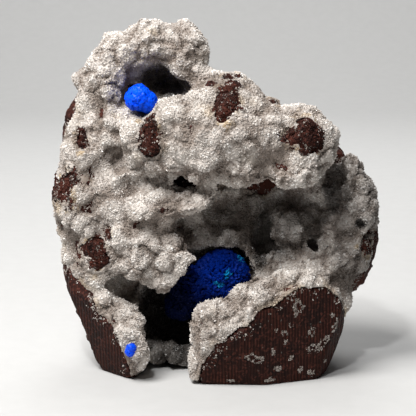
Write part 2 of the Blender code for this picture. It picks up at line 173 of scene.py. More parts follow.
# Rosettes of each spray: centre x, y, z and reach in millimetres, and the number of crystals.
ROSETTES = {
    "cavansite_spray_middle": (
        (1.8, -2.5, 24.2, 7.7, 1300),
        (-5.8, -3.4, 20.8, 6.6, 900),
        (-9.2, -4.0, 16.6, 4.6, 400),
    ),
    "cavansite_spray_upper": ((-19.6, -5.0, 70.6, 3.9, 200), (-17.6, -4.8, 69.6, 3.2, 130)),
    "cavansite_spray_lower": ((-21.3, -20.4, 9.4, 1.4, 60), (-21.6, -20.3, 8.3, 1.4, 50)),
}


# What the druse and the cavansite darken to: painted shade in the hollows, and for the druse also the bare
# rock under the crumbs and dirty grains.
DARK_DRUSE = (0.012, 0.009, 0.007)
DARK_BLUE = (0.0, 0.0006, 0.006)

# The colours that the druse's materials hand to their shared group, and the setting that holds each.
DRUSE_TONES = {
    "Colour": "colour",
    "Clear Colour": "clear_colour",
    "Bright Colour": "bright_colour",
    "Stain Colour": "stain_colour",
    "Crease Colour": "crease_colour",
}

# How many triangles one small crystal has, and under how many a mesh of them stays.
SPINDLE_TRIANGLES = 8
MOST_TRIANGLES = 190000

# The lights: place, what each faces and width, in metres, then power in watts and colour.
LIGHTS = {
    "key": ((-0.20, -0.17, 0.48), (0.0, 0.0, 0.04), 0.24, 4.1, (1.0, 0.985, 0.965)),
    "sparkle": ((-0.08, -0.34, 0.42), (0.0, 0.0, 0.04), 0.03, 1.0, (1.0, 1.0, 1.0)),
    "rim": ((0.05, 0.40, 0.42), (0.0, 0.0, 0.04), 0.22, 0.7, (1.0, 1.0, 1.0)),
    "backdrop": ((0.0, 0.30, 0.75), (0.0, 0.95, 0.30), 0.50, 5.0, (1.0, 1.0, 1.0)),
}


# Settings

def length_property(label, text, default):
    """A length that a user can change."""
    return FloatProperty(name=label, description=text, default=default, subtype="DISTANCE", unit="LENGTH")


def colour_property(label, text, default):
    """A colour that a user can change."""
    return FloatVectorProperty(name=label, description=text, default=default, subtype="COLOR", size=3)


class RockSettings(PropertyGroup):
    """Sizes and colours of the basalt."""

    voxel: length_property("Mesh Size", "Edge length of the rock's mesh", 0.62 * MM)
    chip_size: length_property("Chip Size", "Width of one chipped facet of the broken rock", 4.2 * MM)
    chip_height: length_property("Chip Height", "How far the chipped facets tilt in and out", 0.55 * MM)
    grain_height: length_property("Grain Height", "Height of the rock's grain", 0.45 * MM)
    colour: colour_property("Colour", "Red-brown of the basalt", (0.050, 0.0155, 0.0105))
    dark_colour: colour_property("Dark Colour", "Darker stretches of the basalt", (0.014, 0.0055, 0.0045))
    fleck_colour: colour_property(
        "Fleck Colour", "White mineral in the small old bubbles of the basalt", (0.28, 0.275, 0.26)
    )


class DruseSettings(PropertyGroup):
    """Sizes and colours of the druse."""

    voxel: length_property("Mesh Size", "Edge length of the druse's mesh", 0.66 * MM)
    grow: length_property("Grow", "How far the druse is grown, to close its seam with the rock", 0.30 * MM)
    lump_size: length_property("Lump Size", "Width of a rounded lump of the druse", 7.4 * MM)
    lump_height: length_property("Lump Height", "Height of a rounded lump", 2.2 * MM)
    crystals: IntProperty(
        name="Crystals", description="Number of small crystals on the druse", default=82000, min=1000,
        max=92000,
    )
    crystal_length: length_property(
        "Crystal Length", "Usual length of a crystal, half of it sunk", 0.56 * MM
    )
    colour: colour_property("Colour", "Pale warm grey of the druse", (0.56, 0.515, 0.475))
    clear_colour: colour_property("Clear Colour", "The glassier, greyer crystals", (0.36, 0.32, 0.285))
    bright_colour: colour_property("Bright Colour", "The whitest crystals", (0.86, 0.84, 0.81))
    # Painted shade in the creases between lumps; the druse's broad random mottle also leans to this colour.
    crease_colour: colour_property(
        "Crease Colour", "Browner, darker druse in the creases between lumps", (0.215, 0.17, 0.14)
    )
    stain_colour: colour_property("Stain Colour", "Ochre stain beside the bare rock", (0.42, 0.29, 0.13))


class SpraySettings(PropertyGroup):
    """Colours of the cavansite."""

    # Painted shade: the deep colour low in the spray, between the crystals' tips.
    deep_colour: colour_property("Deep Colour", "Between the crystals' tips", (0.0, 0.035, 0.60))
    azure_colour: colour_property("Azure Colour", "Bright azure of the crystals' tips", (0.0, 0.085, 0.95))
    # Colour of the turquoise painted highlights that the table places on the middle spray.
    turquoise_highlight_colour: colour_property(
        "Turquoise Colour", "Thin crystals that let the light through", (0.01, 0.42, 0.90)
    )


class StageSettings(PropertyGroup):
    """The floor and the camera."""

    distance: length_property(
        "Camera Distance", "From the camera to the middle of the piece", DISTANCE * MM
    )
    elevation: FloatProperty(
        name="Camera Elevation", description="How far the camera looks down", default=LOOK_DOWN,
        subtype="ANGLE", unit="ROTATION",
    )
    view_width: length_property(
        "View Width", "Width of what the camera sees at the piece", PHOTO_PIXELS * PIXEL * MM
    )
    floor_colour: colour_property("Floor Colour", "Plain pale floor", (0.52, 0.52, 0.515))


# Numbers and noise, all as whole arrays

def hashed(cells, seed):
    """A number from 0 to 1 for each row of three whole numbers.

    The three are multiplied by large odd numbers, added, and their bits folded over twice.
    """
    whole = cells.astype(np.int64).astype(np.uint32)
    mixed = whole[:, 0] * np.uint32(374761393) + whole[:, 1] * np.uint32(668265263)
    start = np.uint32((seed * 97 + 13) * 3266489917 & 0xFFFFFFFF)
    mixed = mixed + whole[:, 2] * np.uint32(2246822519) + start
    mixed = (mixed ^ (mixed >> np.uint32(15))) * np.uint32(2246822519)
    mixed = (mixed ^ (mixed >> np.uint32(13))) * np.uint32(3266489917)
    return (mixed ^ (mixed >> np.uint32(16))) / 4294967296.0


def smooth(low, high, values):
    """0 below low, 1 above high, and 3t^2 - 2t^3 between."""
    t = np.clip((values - low) / (high - low), 0.0, 1.0)
    return t * t * (3.0 - 2.0 * t)


def noise(points, size, seed):
    """Numbers at the corners of a lattice, blended over each cell by 3t^2 - 2t^3 along each axis: 0 to 1."""
    cell = points / size
    base = np.floor(cell)
    t = cell - base
    t = t * t * (3.0 - 2.0 * t)
    total = np.zeros(len(points))
    for corner in itertools.product((0, 1), repeat=3):
        step = np.array(corner)
        weight = np.prod(np.where(step == 1, t, 1.0 - t), axis=1)
        total += weight * hashed(base + step, seed)
    return total


def layered(points, size, seed, layers=4):
    """Noise added to itself at half the size and half the strength, layers times: -1 to 1."""
    total, strength, whole = np.zeros(len(points)), 1.0, 0.0
    for layer in range(layers):
        total += strength * (2.0 * noise(points, size, seed + layer) - 1.0)
        whole += strength
        size, strength = size / 2.0, strength / 2.0
    return total / whole


def nearest_cells(points, size, seed):
    """The nearest of a lattice's scattered centres: distance in cells, way from it, and its random number.

    Each cell of the lattice holds one centre at a hashed place, and the 27 cells around a point are searched.
    """
    cell = points / size
    base = np.floor(cell)
    best = np.full(len(points), np.inf)
    away = np.zeros_like(points)
    own = np.zeros(len(points))
    for offset in itertools.product((-1, 0, 1), repeat=3):
        corner = base + np.array(offset)
        place = np.stack([hashed(corner, seed + axis) for axis in range(3)], axis=1)
        way = cell - (corner + place)
        distance = np.linalg.norm(way, axis=1)
        closer = distance < best
        best = np.where(closer, distance, best)
        away[closer] = way[closer]
        own = np.where(closer, hashed(corner, seed + 7), own)
    return best, away, own


def domes(points, size, seed, steep=0.70):
    """Rounded lumps: sqrt(1 - (distance / steep)^2) round each of the scattered centres, 0 to 1."""
    distance, _, own = nearest_cells(points, size, seed)
    return np.sqrt(np.maximum(0.0, 1.0 - (distance / steep) ** 2)) * (0.75 + 0.25 * own)


def lobed(points, normals, broad):
    """The broad lumps, with the table's lobes in their places on what faces the camera.

    A point is seen at (x, z cos t + y sin t), t being how far the camera looks down, made larger or smaller
    by its distance from the camera.  A lobe is sqrt(1 - distance^2), its distance in radii and bent by
    noise.  It takes 0.6 of the lump as far as 1 radius and fades out by 1.3 radii.
    """
    turn = LOOK_DOWN
    across, along, up = (points / MM - np.array(AIM)).T
    scale = DISTANCE / (DISTANCE + along * math.cos(turn) - up * math.sin(turn))
    bent = np.stack([layered(points, 3.2 * MM, 41 + axis, 2) for axis in range(2)])
    seen_across = across * scale + AIM[0] + 1.7 * bent[0]
    seen_up = (up * math.cos(turn) + along * math.sin(turn)) * scale + AIM[2] + 1.7 * bent[1]
    front = smooth(0.0, 0.35, -normals[:, 1] * math.cos(turn) + normals[:, 2] * math.sin(turn))
    front = front * (points[:, 1] < 12.0 * MM)
    for lobe_across, lobe_up, radius in itertools.chain.from_iterable(LOBES.values()):
        away = np.hypot(seen_across - lobe_across, seen_up - lobe_up) / radius
        lobe = np.sqrt(np.maximum(0.0, 1.0 - away**2))
        broad = broad + 0.6 * (lobe - broad) * front * (1.0 - smooth(1.0, 1.3, away))
    return broad


def unit(vectors):
    """The vectors made one long."""
    return vectors / np.maximum(np.linalg.norm(vectors, axis=-1, keepdims=True), 1e-12)


# Meshes

def mesh_from(name, points, faces, material, attributes=None, flat=True):
    """A mesh object from arrays: points n x 3, faces m x 3 or m x 4, and numbers for each point if given."""
    mesh = bpy.data.meshes.new(name)
    sides = faces.shape[1]
    mesh.vertices.add(len(points))
    mesh.vertices.foreach_set("co", points.astype(np.float32).ravel())
    mesh.loops.add(faces.size)
    mesh.loops.foreach_set("vertex_index", faces.astype(np.int32).ravel())
    mesh.polygons.add(len(faces))
    mesh.polygons.foreach_set("loop_start", np.arange(len(faces), dtype=np.int32) * sides)
    mesh.polygons.foreach_set("use_smooth", np.full(len(faces), not flat))
    for key, values in (attributes or {}).items():
        mesh.attributes.new(key, "FLOAT", "POINT").data.foreach_set("value", values.astype(np.float32))
    mesh.update(calc_edges=True)
    mesh.validate()
    mesh.materials.append(material)
    obj = bpy.data.objects.new(name, mesh)
    bpy.context.scene.collection.objects.link(obj)
    return obj


def arrays_of(mesh):
    """(points, faces as quads) of a mesh made only of quads."""
    points = np.empty(len(mesh.vertices) * 3, np.float32)
    mesh.vertices.foreach_get("co", points)
    corners = np.empty(len(mesh.loops), np.int32)
    mesh.loops.foreach_get("vertex_index", corners)
    return points.reshape(-1, 3).astype(float), corners.reshape(-1, 4)


def fine_skin(node, voxel, grow, softened):
    """An object whose modifiers give the node's solid an even skin of small quads, grown and softened.

    The node's own mesh is merged first, in a copy.
    """
    bm = bmesh.new()
    bm.from_mesh(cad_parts[node].data)
    bmesh.ops.remove_doubles(bm, verts=bm.verts, dist=1e-6)
    mesh = bpy.data.meshes.new(f"{node} skin")
    bm.to_mesh(mesh)
    bm.free()
    obj = bpy.data.objects.new(mesh.name, mesh)
    bpy.context.scene.collection.objects.link(obj)
    swell = obj.modifiers.new("grow", "DISPLACE")
    swell.strength = grow
    swell.mid_level = 0.0
    even = obj.modifiers.new("even skin", "REMESH")
    even.mode = "VOXEL"
    even.voxel_size = voxel
    soft = obj.modifiers.new("soft facets", "SMOOTH")
    soft.factor = 0.5
    soft.iterations = softened
    return obj


def settled(obj):
    """(points, faces, gap fields) of the object with its modifiers, after which all of it is removed."""
    graph = bpy.context.evaluated_depsgraph_get()
    graph.update()
    mesh = obj.evaluated_get(graph).to_mesh()
    points, faces = arrays_of(mesh)
    fields = {}
    for attribute in mesh.attributes:
        if attribute.name.startswith("gap_"):
            values = np.empty(len(points), np.float32)
            attribute.data.foreach_get("value", values)
            fields[attribute.name] = values.astype(float)
    groups = [modifier.node_group for modifier in obj.modifiers if modifier.type == "NODES"]
    coarse = obj.data
    bpy.data.objects.remove(obj)
    bpy.data.meshes.remove(coarse)
    for group in groups:
        bpy.data.node_groups.remove(group)
    return points, faces, fields


def add_gap(obj, target, name):
    """Adds the field name to obj: how far each point is from the target, by a Geometry Proximity node."""
    tree = bpy.data.node_groups.new(name, "GeometryNodeTree")
    tree.interface.new_socket("Geometry", in_out="INPUT", socket_type="NodeSocketGeometry")
    tree.interface.new_socket("Geometry", in_out="OUTPUT", socket_type="NodeSocketGeometry")
    start = tree.nodes.new("NodeGroupInput")
    end = tree.nodes.new("NodeGroupOutput")
    info = tree.nodes.new("GeometryNodeObjectInfo")
    info.transform_space = "RELATIVE"
    info.inputs["Object"].default_value = target
    near = tree.nodes.new("GeometryNodeProximity")
    near.target_element = "FACES"
    store = tree.nodes.new("GeometryNodeStoreNamedAttribute")
    store.data_type = "FLOAT"
    store.domain = "POINT"
    store.inputs["Name"].default_value = name
    tree.links.new(info.outputs["Geometry"], near.inputs[0])
    tree.links.new(start.outputs[0], store.inputs["Geometry"])
    tree.links.new(near.outputs["Distance"], store.inputs["Value"])
    tree.links.new(store.outputs["Geometry"], end.inputs[0])
    obj.modifiers.new(name, "NODES").node_group = tree


def face_normals(points, faces):
    """The cross product of each quad's diagonals, which is along its normal and twice its area long."""
    return np.cross(points[faces[:, 2]] - points[faces[:, 0]], points[faces[:, 3]] - points[faces[:, 1]])


def quads_of(points, faces):
    """The middle, the area and the unit normal of each quad."""
    normals = face_normals(points, faces)
    return points[faces].mean(axis=1), np.linalg.norm(normals, axis=1) / 2.0, unit(normals)


def point_normals(points, faces):
    """The mean of the normals of the quads round each point, weighed by their areas."""
    normals = face_normals(points, faces)
    total = np.zeros_like(points)
    for axis in range(3):
        total[:, axis] = np.bincount(faces.ravel(), np.repeat(normals[:, axis], 4), len(points))
    return unit(total)


def sawn_share(points, normals):
    """1 on a sawn face, 0 off it: close to its plane, within its reach, and facing as it does."""
    share = np.zeros(len(points))
    for name, (place, facing) in SAWN_FACES.items():
        facing = unit(np.array(facing))
        offset = points - np.array(place) * MM
        height = np.abs(offset @ facing)
        reach = BASE_REACH if name == "base" else SAW_REACH
        beside = np.linalg.norm(offset, axis=1) < reach
        facing_share = smooth(0.75, 0.92, normals @ facing)
        share = np.maximum(share, beside * facing_share * (1.0 - smooth(0.45 * MM, 1.0 * MM, height)))
    return share


def leaned_reach(points, x, z, across, up, lean):
    """How far each point is from (x, z) seen from the front, in half sizes of an ellipse that leans right."""
    cos, sin = math.cos(math.radians(lean)), math.sin(math.radians(lean))
    dx, dz = points[:, 0] / MM - x, points[:, 2] / MM - z
    return np.hypot((dx * cos - dz * sin) / across, (dx * sin + dz * cos) / up)


def patch_reach(points):
    """How far each point is from the nearest bare patch's middle, in half sizes, made ragged by noise."""
    ragged = 0.42 * layered(points, 1.5 * MM, 17, 3) + 0.25 * layered(points, 4.0 * MM, 19, 1)
    reach = np.full(len(points), 9.0)
    for patch in PATCHES.values():
        reach = np.minimum(reach, leaned_reach(points, *patch))
    return reach + 2.1 * ragged


def painted_shade_share(points):
    """How much painted shade the mineral gets: each ellipsoid's share inside 0.55 of it, fading out to its
    surface.
    """
    share = np.zeros(len(points))
    for x, y, z, across, along, up, strength in PAINTED_SHADE.values():
        reach = np.linalg.norm((points / MM - np.array((x, y, z))) / np.array((across, along, up)), axis=1)
        share = np.maximum(share, strength * (1.0 - smooth(0.55, 1.0, reach)))
    return share


# Materials

def material(name):
    """A new material: itself, its node tree and its Principled BSDF."""
    made = bpy.data.materials.new(name)
    made.use_nodes = True
    return made, made.node_tree, made.node_tree.nodes["Principled BSDF"]


def plug(tree, socket, value):
    """Links another node's output to the socket, or gives the socket a number or a colour of its own."""
    if isinstance(value, bpy.types.NodeSocket):
        tree.links.new(value, socket)
    elif isinstance(value, (int, float)):
        socket.default_value = value
    else:
        socket.default_value = (*value, 1.0)


def node(tree, kind, settings=None, **inputs):
    """A node of the tree with its settings and its inputs' values, or links from other nodes' outputs."""
    made = tree.nodes.new(kind)
    for key, value in (settings or {}).items():
        setattr(made, key, value)
    for key, value in inputs.items():
        plug(tree, made.inputs[key.replace("_", " ")], value)
    return made


def ramp(tree, factor, low, high):
    """A smooth step of factor from low to high, as a mask."""
    smoothed = {"interpolation_type": "SMOOTHSTEP"}
    made = node(tree, "ShaderNodeMapRange", smoothed, Value=factor, From_Min=low, From_Max=high)
    return made.outputs["Result"]


def mixed(tree, factor, one, other):
    """The colours one and other, mixed by factor."""
    made = node(tree, "ShaderNodeMix", {"data_type": "RGBA"})
    for number, value in ((0, factor), (6, one), (7, other)):
        plug(tree, made.inputs[number], value)
    return made.outputs[2]


def mathed(tree, operation, one, other):
    """The result of a Math node that does the operation on one and other."""
    made = node(tree, "ShaderNodeMath", {"operation": operation})
    for socket, value in zip(made.inputs, (one, other)):
        plug(tree, socket, value)
    return made.outputs["Value"]


def new_group(name, colours, numbers, outputs):
    """A shader node group with named colour and number inputs, and its outputs: name and kind of socket."""
    tree = bpy.data.node_groups.new(name, "ShaderNodeTree")
    for label in colours:
        tree.interface.new_socket(label, in_out="INPUT", socket_type="NodeSocketColor")
    for label in numbers:
        tree.interface.new_socket(label, in_out="INPUT", socket_type="NodeSocketFloat")
    for label, kind in outputs.items():
        tree.interface.new_socket(label, in_out="OUTPUT", socket_type=f"NodeSocket{kind}")
    return tree, tree.nodes.new("NodeGroupInput").outputs, tree.nodes.new("NodeGroupOutput").inputs


def placed(tree, name, build, values):
    """The group of that name, which build makes once, placed in the tree with its own values: its outputs."""
    made = tree.nodes.new("ShaderNodeGroup")
    made.node_tree = bpy.data.node_groups.get(name) or build(name)
    for label, value in values.items():
        plug(tree, made.inputs[label], value)
    return made.outputs


def grain_group(name):
    """Mineral Grain: a broad mottle, a speckle and a height with sharp small facets, from object coordinates.

    Used by the rock, the druse, the crystals and the floor, each with its own scale.
    """
    tree, start, end = new_group(
        name, (), ("Grain Scale", "Facet Share"), {"Mottle": "Float", "Speckle": "Float", "Height": "Float"}
    )
    place = tree.nodes.new("ShaderNodeTexCoord").outputs["Object"]
    broad = node(tree, "ShaderNodeTexNoise", Vector=place, Scale=180.0, Detail=4.0, Roughness=0.6)
    scale = start["Grain Scale"]
    fine = node(tree, "ShaderNodeTexNoise", Vector=place, Scale=scale, Detail=3.0, Roughness=0.7)
    facet = node(tree, "ShaderNodeTexVoronoi", Vector=place, Scale=scale)
    speckle = node(tree, "ShaderNodeSeparateColor", Color=facet.outputs["Color"])
    steps = mathed(tree, "MULTIPLY", facet.outputs["Distance"], start["Facet Share"])
    tree.links.new(broad.outputs["Fac"], end["Mottle"])
    tree.links.new(speckle.outputs[0], end["Speckle"])
    tree.links.new(mathed(tree, "ADD", fine.outputs["Fac"], steps), end["Height"])
    return tree


def druse_group(name):
    """Druse Tone: the pale mineral's colour and roughness, for the skin, the crystals and the rock's grains.

    The point's own tint picks it from glassy grey to white.  Ochre stain, painted shade in the creases
    between lumps, and the darker field, which holds painted shade in the hollows and the dark of bare rock
    and dirty grains, are fields of the mesh too.
    """
    tree, start, end = new_group(
        name,
        DRUSE_TONES,
        ("Grain Scale", "Facet Share", "Crease Share", "Smoothest"),
        {"Colour": "Color", "Roughness": "Float", "Height": "Float"},
    )
    out = grain(tree, start["Grain Scale"], start["Facet Share"])
    tint = field(tree, "tint")
    tone = mixed(tree, ramp(tree, tint, 0.0, 0.55), start["Clear Colour"], start["Colour"])
    tone = mixed(tree, ramp(tree, tint, 0.55, 1.0), tone, start["Bright Colour"])
    mottle = mathed(tree, "MULTIPLY", ramp(tree, out["Mottle"], 0.5, 0.72), 0.35)
    tone = mixed(tree, mottle, tone, start["Crease Colour"])
    tone = mixed(tree, field(tree, "stain"), tone, start["Stain Colour"])
    # Painted shade in the creases between the lumps.
    creases = mathed(tree, "MULTIPLY", field(tree, "crease"), start["Crease Share"])
    tone = mixed(tree, creases, tone, start["Crease Colour"])
    # The darker field: painted shade in the hollows, and the dark of bare rock and of dirty grains.
    tone = mixed(tree, field(tree, "darker"), tone, DARK_DRUSE)
    rough = mathed(tree, "ADD", mathed(tree, "MULTIPLY", out["Speckle"], 0.18), start["Smoothest"])
    tree.links.new(tone, end["Colour"])
    tree.links.new(rough, end["Roughness"])
    tree.links.new(out["Height"], end["Height"])
    return tree


def cavansite_group(name):
    """Cavansite Tone: deep blue low in the spray as painted shade between the crystals, azure at the tips,
    painted shade from the darker field, and turquoise painted highlights.
    """
    tree, start, end = new_group(
        name, ("Deep Colour", "Azure Colour", "Turquoise Colour"), (), {"Colour": "Color"}
    )
    low_to_tip = ramp(tree, field(tree, "tip"), 0.55, 0.98)
    tone = mixed(tree, low_to_tip, start["Deep Colour"], start["Azure Colour"])
    # Painted shade in the hollows, and on the middle spray away from its brightest place.
    tone = mixed(tree, field(tree, "darker"), tone, DARK_BLUE)
    # Turquoise painted highlights where the tint field says.
    tone = mixed(tree, field(tree, "tint"), tone, start["Turquoise Colour"])
    tree.links.new(tone, end["Colour"])
    return tree


def grain(tree, scale, facets):
    """The outputs of the Mineral Grain group at a scale, with a share of sharp facets."""
    return placed(tree, "Mineral Grain", grain_group, {"Grain Scale": scale, "Facet Share": facets})


def bumped(tree, shader, height, distance, strength=1.0):
    """Feeds the height to the shader's normal through a Bump node."""
    bump = node(tree, "ShaderNodeBump", Height=height, Distance=distance, Strength=strength)
    tree.links.new(bump.outputs["Normal"], shader.inputs["Normal"])


def mottled_roughness(tree, shader, grains, low, high):
    """Roughness that goes from low to high with the grain's broad mottle."""
    rough = node(tree, "ShaderNodeMapRange", Value=grains["Mottle"], To_Min=low, To_Max=high)
    tree.links.new(rough.outputs["Result"], shader.inputs["Roughness"])


def field(tree, name):
    """A number that the mesh holds for each point."""
    return node(tree, "ShaderNodeAttribute", {"attribute_name": name}).outputs["Fac"]


def basalt_material(name, settings, shade):
    """Red-brown rock: dark and light mottle, pale specks, and near-vertical lines on the sawn faces."""
    made, tree, shader = material(name)
    colour, dark_colour = (tuple(shade * c for c in tone) for tone in (settings.colour, settings.dark_colour))
    out = grain(tree, 1900.0, 0.35)
    place = tree.nodes.new("ShaderNodeTexCoord").outputs["Object"]
    sawn = field(tree, "sawn")
    tone = mixed(tree, ramp(tree, out["Mottle"], 0.38, 0.66), dark_colour, colour)
    grit = mathed(tree, "MULTIPLY", ramp(tree, out["Speckle"], 0.55, 1.0), 0.5)
    tone = mixed(tree, grit, tone, tuple(min(1.0, 2.6 * c) for c in colour))
    wobble = node(tree, "ShaderNodeTexNoise", Vector=place, Scale=900.0, Detail=2.0)
    specks = mathed(tree, "MULTIPLY", ramp(tree, wobble.outputs["Fac"], 0.70, 0.76), 0.5)
    tone = mixed(tree, specks, tone, settings.fleck_colour)
    mottled_roughness(tree, shader, out, 0.62, 0.88)
    lines = node(
        tree, "ShaderNodeTexWave", {"wave_type": "BANDS", "bands_direction": "X", "wave_profile": "SIN"},
        Vector=place, Scale=393.0, Distortion=1.2, Detail=1.0,
    )
    grooves = mathed(tree, "MULTIPLY", mathed(tree, "SUBTRACT", 1.0, lines.outputs["Fac"]), sawn)
    grooves = mathed(tree, "MULTIPLY", grooves, ramp(tree, out["Mottle"], 0.36, 0.62))
    tone = mixed(tree, mathed(tree, "MULTIPLY", grooves, 0.75), tone, tuple(0.4 * c for c in dark_colour))
    tree.links.new(tone, shader.inputs["Base Color"])
    ridges = mathed(tree, "MULTIPLY", mathed(tree, "MULTIPLY", lines.outputs["Fac"], sawn), 1.6)
    shader.inputs["Specular IOR Level"].default_value = 0.12
    bumped(tree, shader, mathed(tree, "ADD", out["Height"], ridges), 0.00012)
    return made


def druse_material(name, settings, roughness, facets):
    """Pale sugary mineral, from the Druse Tone group."""
    made, tree, shader = material(name)
    values = {"Grain Scale": 1500.0, "Facet Share": facets, "Crease Share": 0.85, "Smoothest": roughness}
    for label, setting in DRUSE_TONES.items():
        values[label] = getattr(settings, setting)
    out = placed(tree, "Druse Tone", druse_group, values)
    tree.links.new(out["Colour"], shader.inputs["Base Color"])
    tree.links.new(out["Roughness"], shader.inputs["Roughness"])
    shader.inputs["Specular IOR Level"].default_value = 0.5
    bumped(tree, shader, out["Height"], 0.00006, 0.8)
    return made


def cavansite_material(name, settings, depth, specular, roughness):
    """Vitreous blue, from the Cavansite Tone group, made deeper where depth is under 1: for the middle spray
    partly its own deeper blue and partly painted shade.
    """
    made, tree, shader = material(name)
    out = placed(tree, "Cavansite Tone", cavansite_group, {
        "Deep Colour": tuple(c * depth for c in settings.deep_colour),
        "Azure Colour": tuple(c * depth for c in settings.azure_colour),
        "Turquoise Colour": tuple(c * max(depth, 0.55) for c in settings.turquoise_highlight_colour),
    })
    tree.links.new(out["Colour"], shader.inputs["Base Color"])
    grains = grain(tree, 2600.0, 0.3)
    mottled_roughness(tree, shader, grains, roughness, roughness + 0.22)
    shader.inputs["Specular IOR Level"].default_value = specular
    bumped(tree, shader, grains["Height"], 0.00003, 0.5)
    return made


# Crystals as whole arrays

def axes_of(ways, rolls):
    """Two unit vectors square to each way, turned round it by its roll."""
    helper = np.where(np.abs(ways[:, 2:3]) < 0.9, np.array([[0.0, 0.0, 1.0]]), np.array([[1.0, 0.0, 0.0]]))
    side = unit(np.cross(ways, helper))
    other = np.cross(ways, side)
    cos, sin = np.cos(rolls)[:, None], np.sin(rolls)[:, None]
    return side * cos + other * sin, other * cos - side * sin


def crystal_arrays(shape, heights, across, deep, faces):
    """Closed crystals of one pattern: each point is root + way x height + side x across + other x deep.

    The shape is each crystal's root, way, roll, length, width and thickness.  Heights count in lengths,
    across in widths and deep in thicknesses, and the faces are those of one crystal.
    """
    roots, ways, rolls, lengths, wides, thicks = shape
    side, other = axes_of(ways, rolls)
    points = (
        roots[:, None, :]
        + ways[:, None, :] * (heights[None, :] * lengths[:, None])[:, :, None]
        + side[:, None, :] * (across[None, :] * wides[:, None])[:, :, None]
        + other[:, None, :] * (deep[None, :] * thicks[:, None])[:, :, None]
    )
    corners = len(heights)
    all_faces = np.array(faces)[None, :, :] + (np.arange(len(roots)) * corners)[:, None, None]
    return points.reshape(-1, 3), all_faces.reshape(-1, 3), corners


def spindles(shape, sunk, shoulder):
    """Small closed crystals with a point at each end and four flat sides above and below a shoulder.

    In lengths of the crystal, one point is at height -sunk, the four corners are at the shoulder, and the
    other point is at 1 - sunk.
    """
    heights = np.array([-sunk, shoulder, shoulder, shoulder, shoulder, 1.0 - sunk])
    across = np.array([0.0, 0.5, 0.0, -0.5, 0.0, 0.0])
    deep = np.array([0.0, 0.0, 0.5, 0.0, -0.5, 0.0])
    below = [(0, 2, 1), (0, 3, 2), (0, 4, 3), (0, 1, 4)]
    above = [(5, 1, 2), (5, 2, 3), (5, 3, 4), (5, 4, 1)]
    return crystal_arrays(shape, heights, across, deep, below + above)


def blades(shape):
    """Closed four-sided blades that widen from the root to a shoulder, then come to a point.

    Three heights along way: the root, half as wide, the shoulder at 0.9 of the length, and the point at 1.
    """
    heights = np.array([0.0] * 4 + [0.90] * 4 + [1.0])
    ring = np.array([1.0, 0.0, -1.0, 0.0])
    turn = np.array([0.0, 1.0, 0.0, -1.0])
    across = np.concatenate([ring * 0.25, ring * 0.5, [0.0]])
    deep = np.concatenate([turn * 0.25, turn * 0.5, [0.0]])
    sides = [(i, (i + 1) % 4, 4 + (i + 1) % 4) for i in range(4)]
    sides += [(i, 4 + (i + 1) % 4, 4 + i) for i in range(4)]
    tips = [(4 + i, 4 + (i + 1) % 4, 8) for i in range(4)]
    foot = [(0, 2, 1), (0, 3, 2)]
    return crystal_arrays(shape, heights, across, deep, sides + tips + foot)


def fitted(obj, slot, *nodes):
    """Rides on the one body and stands for the nodes.  Its slot is not used."""
    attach(obj, BODY)
    if nodes:
        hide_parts(*nodes)


def scattered(dice, points, faces, weight, count):
    """count random places on the quads, by their weight: the places, and which quad each is on."""
    pick = dice.choice(len(faces), count, p=weight / weight.sum())
    u, v = dice.random((2, count, 1))
    a, b, c, d = (points[faces[pick, k]] for k in range(4))
    return a * (1 - u) * (1 - v) + b * u * (1 - v) + c * u * v + d * (1 - u) * v, pick


def standing(dice, surface, count, lean, length, spread, wide, thick):
    """count crystals that stand at random on the surface: their shape, and which quad each is on.

    The surface is its points, its quads, and their weights and normals.  A way is the quad's normal plus
    lean x a random unit vector, and a length is length x e^(spread x a normal number).  A width is a share of
    the length from the range wide, and a thickness is a share of the width, from a range or fixed.
    """
    points, faces, weight, facing = surface
    roots, pick = scattered(dice, points, faces, weight, count)
    ways = unit(facing[pick] + lean * unit(dice.normal(size=(count, 3))))
    lengths = length * np.exp(dice.normal(0.0, spread, count))
    wides = lengths * dice.uniform(*wide, count)
    thicks = wides * (dice.uniform(*thick, count) if isinstance(thick, tuple) else thick)
    rolls = dice.uniform(0.0, 2.0 * math.pi, count)
    return (roots, ways, rolls, lengths, wides, thicks), pick


# Pieces

def lay_crumbs(name, dice, surface, count, length):
    """Red-brown grains of rock on a surface: its points, its quads, and their weights and normals."""
    shape, _ = standing(dice, surface, count, 0.9, length, 0.3, (0.7, 1.1), 0.8)
    new_points, new_faces, _ = spindles(shape, sunk=0.45, shoulder=0.05)
    finish = bpy.data.materials.get("rock crumbs")
    if finish is None:
        finish = basalt_material("rock crumbs", bpy.context.scene.cavansite_rock, 1.15)
    crumbs = mesh_from(name, new_points, new_faces, finish, {"sawn": np.zeros(len(new_points))})
    fitted(crumbs, "basalt")


def druse_skin_arrays(settings):
    """The druse's skin: its solid, evened and grown, plus lumps of two sizes where it isn't against the rock.

    point + normal x cover x lump height x (broad - 0.8 + 0.42 x (small - 0.8)), where broad is domes of the
    lump size with the table's lobes among them, small is domes at 0.44 of that size, and cover is 0 against
    the rock and 1 from 1.1 mm off it.
    The crease field is how low a point lies between the lumps, 0 to 1; the colour paints shade in the creases
    by it.
    """
    obj = fine_skin("stilbite_crust", settings.voxel, settings.grow, 6)
    add_gap(obj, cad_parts["basalt_matrix"], "gap_rock")
    points, faces, fields = settled(obj)
    gap = fields["gap_rock"]
    normals = point_normals(points, faces)
    cover = smooth(0.35 * MM, 1.1 * MM, gap)
    size, height = settings.lump_size, settings.lump_height
    warp = np.stack([layered(points, 8.0 * MM, 60 + axis, 2) for axis in range(3)], axis=1) * 1.2 * MM
    broad = lobed(points, normals, domes(points + warp, size, 11))
    small = domes(points + 0.5 * warp, 0.44 * size, 23)
    lift = height * ((broad - 0.80) + 0.42 * (small - 0.80))
    crease = smooth(0.30, 1.05, (1.0 - broad) + 0.55 * (1.0 - small))
    points = points + normals * (lift * cover)[:, None]
    points[:, 2] = np.maximum(points[:, 2], 0.7 * MM)
    return points, faces, gap, crease


